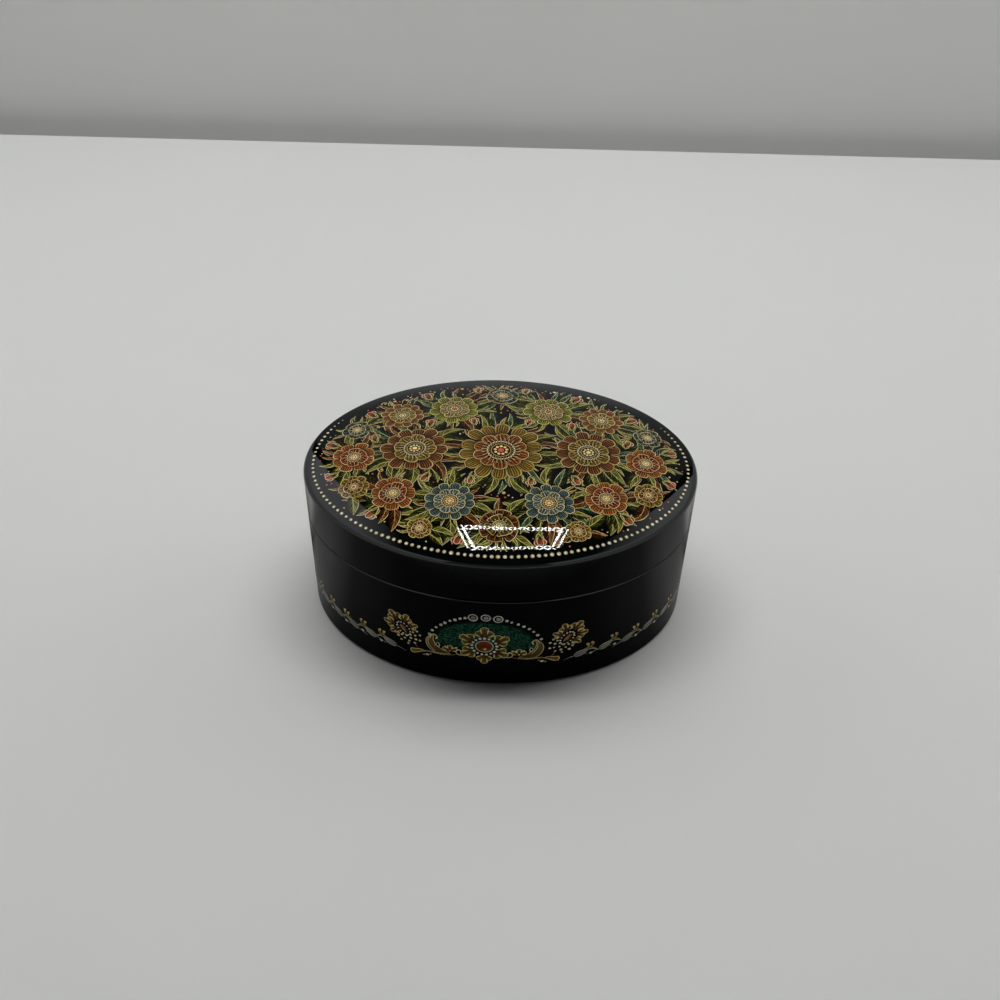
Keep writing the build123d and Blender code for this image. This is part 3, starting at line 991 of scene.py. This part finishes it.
def makeBouquet():
    # heads and buds by their table, leaves fanning out from under every head, broad ones first,
    # then tendrils, and berries and fine dots where the ground still shows
    heads = []
    for x, y, radius, kind in bouquet["heads"]:
        for side in ((1, -1) if x else (1,)):
            centre = np.array([side * x + (rng.uniform(-0.25, 0.25) if x else 0), y + rng.uniform(-0.2, 0.2)])
            bloom(centre, radius, kind, rng.uniform(0, 30))
            heads.append((centre, radius))
    for side in (-1, 1):
        for x, y, radius, angle, tone in bouquet["buds"]:
            bud(np.array([side * x, y]), radius, angle if side == 1 else 180 - angle, tone)
    laid = 0
    for length, width, tries in bouquet["leaves"]:
        for centre, radius in heads:
            start = rng.uniform(0, 360)
            for k in range(tries):
                angle = start + 360 * k / tries + rng.uniform(-4, 4)
                base = polar(centre, radius * 0.72, angle)
                reach = radius * 0.88 + length * rng.uniform(0.8, 1.15)
                tip = polar(centre, reach, angle + rng.uniform(-12, 12))
                shares = bouquet["leafShares"][int(tip[1] > bouquet["back"])]
                tone = rng.choice(bouquet["leafTones"], p=shares)
                laid += tryLeaf(base, tip, width, rng.uniform(-0.16, 0.16), tone, 4 if length > 3.5 else 3)
    for centre, radius in heads:
        for k in range(bouquet["curls"]):
            angle = rng.uniform(0, 360)
            curl(polar(centre, radius * 0.98, angle), angle, rng.uniform(1.8, 3.2), rng.choice([-1, 1]))
    for spot in rng.uniform(-1, 1, (bouquet["touches"], 2)) * lidPlan["half"]:
        away = min(np.linalg.norm(spot - centre) - radius for centre, radius in heads)
        if not inside(spot, 0.4) or away < 0.35:
            continue
        size = rng.choice([0.34, 0.2, 0.14], p=[0.2, 0.4, 0.4])
        free = (claim(spot[None], np.array([size + room]), level) for room, level in ((0.16, 0), (0.1, 1.4)))
        if all(level is not None for level in free):
            tone, family = (("coral", "red"), ("cream", "white"), ("gold", "gold"))[int(rng.integers(3))]
            dots(f"lid_paint_{family}", spot, size, 0, fine(tone))
            if size > 0.3:
                dots("lid_paint_white", spot + 0.09, 0.09, 1 / 3, fine("cream"))
    print("bouquet", len(heads), "heads,", laid, "leaves")


def makeBorderDots():
    # evenly spaced along an oval inside the rim, a gold halo under each, fading at both ends
    path = asPoints(*onOval(turns, lidPlan["border"]))
    length = runLength(path)
    length -= length[len(turns) // 2]
    reach = np.interp(np.radians(lidPlan["dotsEnd"]), turns, length)
    count = int(2 * reach / lidPlan["dotPitch"])
    place = np.linspace(-reach, reach, count) + rng.uniform(-0.06, 0.06, count)
    spots = asPoints(*(np.interp(place, length, part) for part in path.T))
    fading = np.clip((reach - np.abs(place)) / 9 + 0.45, 0, 1)
    size = lidPlan["dotRadius"] * rng.uniform(0.88, 1.08, count) * fading
    size *= np.interp(np.abs(place), (12, 40), (1.02, 0.84))  # smaller round the ends
    halo = spots + rng.uniform(-0.05, 0.05, (count, 2))
    dots("lid_border_dots", halo, size * 1.2, 0, tones["goldDeep"] * 0.4)
    dots("lid_border_dots", spots, size, 1, tones["silver"] * [0.98, 0.94, 0.74])
    spots = spots + size[:, None] * rng.uniform(-0.25, 0.25, (count, 2))
    size = size * rng.uniform(0.45, 0.7, count)
    dots("lid_border_dots", spots, size, 2, tones["white"] * [0.95, 0.91, 0.76])


makeBouquet()
makeBorderDots()
makePaint("lid_border_dots", "lid", "white")
makePaint("lid_lines_gold", "lid", "gold")
for family in pigments:
    makePaint(f"lid_paint_{family}", "lid", family)
print("lid painted")

# Camera, as the photograph was taken

camera = {
    "place": (0.042, -178.964, 190.592),
    "pitch": 42.789,  # below the horizon, in degrees
    "roll": -1.4693,
    "focal": 1178.0,  # in pixels, of 1000 across the frame
    "sensor": 36,
}
(cp, sp), (cr, sr) = around(np.radians([camera["pitch"], camera["roll"]]))
lens = bpy.data.cameras.new("camera")
lens.sensor_width = camera["sensor"]
lens.lens = camera["focal"] / 1000 * camera["sensor"]
lens.clip_start = 0.01
lens.clip_end = 20
viewer = bpy.data.objects.new("camera", lens)
axes = Matrix(((cr, -sr * sp, -sr * cp), (sr, cr * sp, cr * cp), (0, -cp, sp)))  # right, up and back
place = Matrix.Translation([x * millimetre for x in camera["place"]])
viewer.matrix_world = place @ axes.transposed().to_4x4()
bpy.context.scene.collection.objects.link(viewer)
bpy.context.scene.camera = viewer

# Floor and backdrop under soft lamps, and what the lacquer mirrors: a light tent with a frame of
# bead lamps near its roof, and a dark card on the floor

stage = {
    "floor": linear(209, 210, 208),
    "backdrop": linear(234, 234, 231),
    "edge": 209,  # how far behind the box the floor cloth ends
    "gap": 11,  # behind that edge
    "far": 2500,
    "pale": linear(209, 210, 208),  # what floor and backdrop fade to, and the world behind them
    "fade": (330, 800),  # how far out that starts and ends
    "world": 0.03,
    "mottle": 0.015,
}
tent = {
    # name: from and to in plan, then heights and how brightly the sheet glows there, as glossy
    # paint mirrors it; the sides end in a dark seam, and the back shows between the seams
    "tentLeft": ((-190, -500), (-190, 320), (
        (0, 0.55), (240, 0.6), (300, 0.95), (460, 0.85),
        (520, 0.62), (600, 0.36), (690, 0.08), (764, 0))),
    "tentRight": ((190, -500), (190, 278), (
        (0, 0.55), (240, 0.6), (300, 0.95), (400, 0.85), (460, 0.62),
        (520, 0.4), (600, 0.26), (690, 0.05), (764, 0))),
    "tentLeftSeam": ((-190, 320), (-190, 350), ((0, 0), (764, 0))),
    "tentRightSeam": ((190, 278), (190, 304), ((0, 0), (764, 0))),
    "tentBack": ((-600, 410), (600, 410), (
        (-80, 0.48), (115, 0.43), (148, 0.32), (178, 0.21), (261, 0.18),
        (309, 0.14), (352, 0.11), (535, 0.07), (764, 0.01))),
    "tentFront": ((-600, -505), (600, -505), ((-10, 0.3), (200, 0.2), (764, 0.02))),
}
tentRoof = {"corners": ((-600, -500), (600, -500), (600, 420), (-600, 420)), "height": 764, "glow": 0.012}
tentWhite = linear(250, 252, 255)
flag = {
    "half": (39, 28),  # the oval of its inner edge
    # how much of the floor's reflection it takes away, and how far out it reaches in sizes of
    # that oval, both by the angle from the front in degrees
    "hides": (
        (0, 30, 46, 57, 66, 77, 98, 106, 180),
        (0.965, 0.95, 0.87, 0.84, 0.68, 0.58, 0.66, 0.92, 0.93),
    ),
    "reach": ((0, 80, 97, 104, 110, 117, 124, 180), (3.4, 3.4, 2.6, 1.8, 1.65, 1.9, 2.0, 2.0)),
    "fading": 0.6,  # the outer part of its reach, over which it thins out
    "height": 0.4,
    "rows": 26,
    "columns": 144,
}
beads = {
    "light": 60.0,
    "corners": ((-57, 299), (97, 298), (85.6, 212), (-40.4, 202)),  # of the frame, at its height
    "height": 600,
    # per pair of legs: pitch, half a bead along and across, slant, half the rows' distance, and
    # how much taller beads and rows grow towards the ends
    "legs": ((6.2, (1.15, 2.4), 0.6, 3.4, 0.9), (4.4, (1.25, 1.8), 0.5, 4.4, 0)),
}
lamps = {
    # name: place, aim, size and power
    "keyLamp": ((10, 165, 600), (0, 0, 0), (560, 240), 1.5),
    "roofLamp": ((0, 40, 600), (0, 40, 0), (520, 60), 1.15),
    "lowLamp": ((0, -460, 120), (0, 0, 15), (520, 160), 0.04),
    "leftLamp": ((-420, 200, 300), (0, 60, 0), (360, 300), 0.43),
    "rightLamp": ((420, 220, 300), (0, 60, 0), (360, 300), 0.48),
}


def backgroundRays(tree):
    # 1 for the rays that show the background: the camera's, and those off or through things
    rays = tree.nodes.new("ShaderNodeLightPath").outputs
    either = node(tree, "Math", {0: rays["Is Camera Ray"], 1: rays["Is Glossy Ray"]}, operation="MAXIMUM")
    return node(tree, "Math", {0: either, 1: rays["Is Transmission Ray"]}, operation="MAXIMUM")


def stageMaterial(name, colour):
    # matt cloth or paper near the box, fading far out to the pale background
    tree, shader, coordinate, material = newMaterial(name)
    mottle = spread(tree, noiseOn(tree, coordinate, 6, 3), 0, 1)
    tone = mixColour(tree, mottle, colour * (1 - stage["mottle"]), colour * (1 + stage["mottle"]))
    plug(tree, shader, {"Base Color": tone, "Roughness": 0.8, "Specular IOR Level": 0.2})
    reach = node(tree, "VectorMath", {0: coordinate}, "Value", operation="LENGTH")
    share = spread(tree, reach, 0, 1, *(x * millimetre for x in stage["fade"]))
    share = node(tree, "Math", {0: share, 1: backgroundRays(tree)}, operation="MULTIPLY")
    pale = node(tree, "Emission", {"Color": stage["pale"]})
    fade = node(tree, "MixShader", {"Fac": share, 1: shader.outputs[0], 2: pale})
    plug(tree, tree.nodes["Material Output"], {"Surface": fade})
    return material


def sheet(name, profile, material):
    # a profile of y and z drawn out sideways
    y, z = np.array(profile, float).T[..., None]
    points = asPoints([[-stage["far"], stage["far"]]], y, z)
    piece = weldedPiece(name, points, gridQuads(len(y), 2), [material])
    return piece


def glowMaterial(name, colour, strength=1.0):
    # nothing but its own light
    material = bpy.data.materials.new(name)
    material.use_nodes = True
    tree = material.node_tree
    tree.nodes.clear()
    glow = node(tree, "Emission", {"Color": colour, "Strength": strength})
    tree.links.new(glow, tree.nodes.new("ShaderNodeOutputMaterial").inputs["Surface"])
    return material


def mirrored(piece):
    # what only glossy lacquer sees, so it lights nothing and hides nothing
    piece.visible_camera = piece.visible_diffuse = piece.visible_shadow = False
    piece.visible_transmission = piece.visible_volume_scatter = False


def keepShare(piece, shareAt):
    # a number for every corner of a mesh, worked out from its place; returns the tree of its
    # material, and a node in it that reads the number
    mesh = piece.data
    place = np.empty(len(mesh.vertices) * 3)
    mesh.vertices.foreach_get("co", place)
    share = shareAt(*place.reshape(-1, 3).T / millimetre)
    mesh.attributes.new("share", "FLOAT", "POINT").data.foreach_set("value", share.astype(np.float32))
    tree = mesh.materials[0].node_tree
    return tree, node(tree, "Attribute", {}, "Fac", attribute_name="share")


def panel(name, start, end, glow):
    # an upright sheet between two points of the plan, which glows by height
    height, light = np.array(glow, float).T
    points = asPoints(*np.transpose([start, end])[:, None], height[:, None])
    piece = weldedPiece(name, points, gridQuads(len(height), 2), [glowMaterial(name, tentWhite)])
    tree, share = keepShare(piece, lambda x, y, z: np.interp(z, height, light))
    plug(tree, tree.nodes["Emission"], {"Strength": share})
    mirrored(piece)


def flagShare(x, y, z):
    # what the card hides by its angle, falling to nothing over the outer part of its reach there
    x, y = x / flag["half"][0], y / flag["half"][1]
    turn = np.degrees(np.arctan2(np.abs(x), -y))
    reach = np.interp(turn, *flag["reach"])
    thin = np.clip((reach - np.hypot(x, y)) / (flag["fading"] * (reach - 1)), 0, 1) ** 0.8
    return np.interp(turn, *flag["hides"]) * thin


def makeFlag():
    # a dark card on the floor round the box: an oval ring, black where it hides and else clear
    angle = np.linspace(-np.pi, np.pi, flag["columns"] + 1)[:-1]
    out = 1 + (max(flag["reach"][1]) - 1) * np.linspace(0, 1, flag["rows"])[:, None] ** 1.8
    x, y = flag["half"][0] * out * np.sin(angle), -flag["half"][1] * out * np.cos(angle)
    points, quads = asPoints(x, y, flag["height"]), gridQuads(*x.shape, closedColumns=True)
    piece = weldedPiece("frontFlag", points, quads, [glowMaterial("flagCard", (0, 0, 0), 0)])
    tree, share = keepShare(piece, flagShare)
    clear = node(tree, "BsdfTransparent", {})
    hide = node(tree, "MixShader", {"Fac": share, 1: clear, 2: tree.nodes["Emission"].outputs[0]})
    plug(tree, tree.nodes["Material Output"], {"Surface": hide})
    mirrored(piece)


def makeBeads():
    # two rows of bead lamps along each leg of the frame, slanting to and fro
    corners = np.array(beads["corners"])
    squares = []
    for k, (start, end) in enumerate(zip(corners, np.roll(corners, -1, axis=0))):
        length = np.linalg.norm(end - start)
        along = (end - start) / length
        across = np.array([-along[1], along[0]])
        pitch, half, slant, apart, taller = beads["legs"][k % 2]
        count = int(length / pitch)
        number = np.arange(count)[:, None]
        for row in (-1, 1):
            place = (number + 0.5) / count * length + rng.uniform(-0.9, 0.9, (count, 1))
            grow = 1 + taller * (2 * place / length - 1) ** 2
            middle = start + along * place + row * across * apart * grow
            lean = slant * row * np.where(number % 2, 1, -1) + rng.uniform(-0.2, 0.2, (count, 1))
            size = rng.uniform(0.6, 1.15, (count, 1))
            wide, tall = half[0] * along * size, half[1] * (across + along * lean) * size * grow
            signs = ((1, 1), (1, -1), (-1, -1), (-1, 1))
            squares.append(np.stack([middle + a * wide + b * tall for a, b in signs], 1))
    x, y = np.concatenate(squares).T
    points = asPoints(x.T, y.T, beads["height"])
    quads = np.arange(4 * len(points)).reshape(-1, 4)
    glow = glowMaterial("beadGlow", linear(255, 255, 250), beads["light"])
    mirrored(weldedPiece("tentBeads", points, quads, [glow]))


def softLamp(name, place, aim, size, power):
    # a rectangle of light turned towards its aim, which no lacquer mirrors
    light = bpy.data.lights.new(name, "AREA")
    light.shape = "RECTANGLE"
    light.size, light.size_y = (x * millimetre for x in size)
    light.energy = power
    lamp = bpy.data.objects.new(name, light)
    lamp.location = Vector(place) * millimetre
    lamp.rotation_euler = (Vector(aim) - Vector(place)).to_track_quat("-Z", "Y").to_euler()
    lamp.visible_glossy = False
    bpy.context.scene.collection.objects.link(lamp)


def makeWorld():
    # dim light from all round, and pale where the background shows
    world = bpy.data.worlds.new("world")
    bpy.context.scene.world = world
    world.use_nodes = True
    tree = world.node_tree
    tree.nodes.clear()
    strengths = (stage["world"] / stage["pale"][1], 1.0)
    dim, pale = (node(tree, "Background", {"Color": stage["pale"], "Strength": s}) for s in strengths)
    either = node(tree, "MixShader", {"Fac": backgroundRays(tree), 1: dim, 2: pale})
    tree.links.new(either, tree.nodes.new("ShaderNodeOutputWorld").inputs["Surface"])


edge, back = stage["edge"], stage["edge"] + stage["gap"]
floorEnd = arc((edge, -3.0), 3.0, 90, 0, 9)
floorLine = np.concatenate([[[-stage["far"], 0]], floorEnd, [[edge + 3, -60]]])
sheet("floor", floorLine, stageMaterial("floorCloth", stage["floor"]))
backLine = [[back, -60], [back, -8], [edge + 70, 420]]
backdrop = sheet("backdrop", backLine, stageMaterial("backdropPaper", stage["backdrop"]))
backdrop.visible_glossy = False  # the lacquer mirrors the tent instead
for name, settings in tent.items():
    panel(name, *settings)
roof = asPoints(*np.transpose(tentRoof["corners"]), tentRoof["height"])
roofGlow = glowMaterial("tentRoof", tentWhite, tentRoof["glow"])
mirrored(weldedPiece("tentRoof", roof, np.array([[0, 1, 2, 3]]), [roofGlow]))
makeFlag()
makeBeads()
for name, settings in lamps.items():
    softLamp(name, *settings)
makeWorld()
bpy.context.scene.view_settings.view_transform = "Standard"
print("stage lit")
